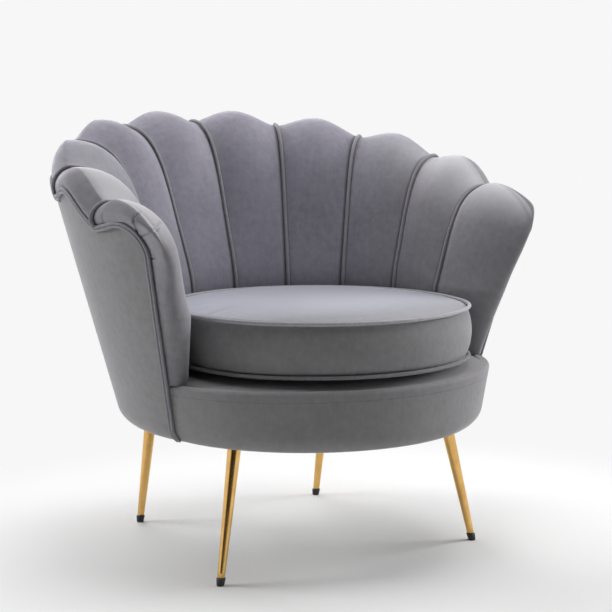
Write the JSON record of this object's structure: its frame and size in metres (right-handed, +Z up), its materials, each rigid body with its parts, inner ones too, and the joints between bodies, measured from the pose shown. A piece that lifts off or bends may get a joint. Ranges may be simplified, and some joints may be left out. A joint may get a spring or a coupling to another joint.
{
  "type": "scallop back armchair",
  "caption": "Low tub armchair with a channelled scallop back that runs into the arms, a round loose cushion and splayed tapered metal legs.",
  "frame": {"origin": "on the floor, under the middle of the bounding box", "axes": "the chair faces -Y, +X is to the right for someone who looks at its front, +Z is up"},
  "size_m": [0.809, 0.7266, 0.7228],
  "materials": {
    "velvet": "short-pile velvet, soft sheen at grazing angles",
    "velvet_cord": "velvet-covered cord",
    "gold_metal": "polished gold plating",
    "black_plastic": "moulded, matt",
    "plywood": "sawn, unfinished",
    "webbing": "woven elastic",
    "steel": "zinc plated",
    "lining": "thin non-woven cloth"
  },
  "bodies": {
    "chair": {"back_rib_1": "plywood", "back_rib_2": "plywood", "back_rib_3": "plywood", "back_rib_4": "plywood", "back_rib_5": "plywood", "back_rib_6": "plywood", "back_rib_7": "plywood", "base_board": "plywood", "channel_left_1": "velvet", "channel_left_2": "velvet", "channel_left_3": "velvet", "channel_left_4": "velvet", "channel_left_front": "velvet", "channel_right_1": "velvet", "channel_right_2": "velvet", "channel_right_3": "velvet", "channel_right_4": "velvet", "channel_right_front": "velvet", "deck_pad": "velvet", "double_welt": "velvet_cord", "dust_cover": "lining", "foot_cap_front_left": "black_plastic", "foot_cap_front_right": "black_plastic", "foot_cap_rear_left": "black_plastic", "foot_cap_rear_right": "black_plastic", "front_rail_cover": "velvet", "front_rail_panel": "plywood", "leg_block_front_left": "plywood", "leg_block_front_right": "plywood", "leg_block_rear_left": "plywood", "leg_block_rear_right": "plywood", "leg_front_left": "gold_metal", "leg_front_right": "gold_metal", "leg_insert_front_left": "steel", "leg_insert_front_right": "steel", "leg_insert_rear_left": "steel", "leg_insert_rear_right": "steel", "leg_rear_left": "gold_metal", "leg_rear_right": "gold_metal", "outside_cover": "velvet", "seam_cord_1": "velvet_cord", "seam_cord_2": "velvet_cord", "seam_cord_3": "velvet_cord", "seam_cord_4": "velvet_cord", "seam_cord_5": "velvet_cord", "seam_cord_6": "velvet_cord", "seam_cord_7": "velvet_cord", "seam_cord_8": "velvet_cord", "seam_cord_9": "velvet_cord", "seat_ring": "plywood", "strap_crosswise_1": "webbing", "strap_crosswise_2": "webbing", "strap_lengthwise_1": "webbing", "strap_lengthwise_2": "webbing", "strap_lengthwise_3": "webbing", "top_hoop": "plywood"},
    "cushion": {"cushion_bottom_piping": "velvet_cord", "cushion_top_piping": "velvet_cord", "cushion_zip": "lining", "seat_cushion": "velvet"}
  },
  "joints": [
    {"name": "cushion_lift", "type": "slide", "parent": "chair", "child": "cushion", "axis": [0, 0, 1], "range_m": [0, 0.4]}
  ]
}
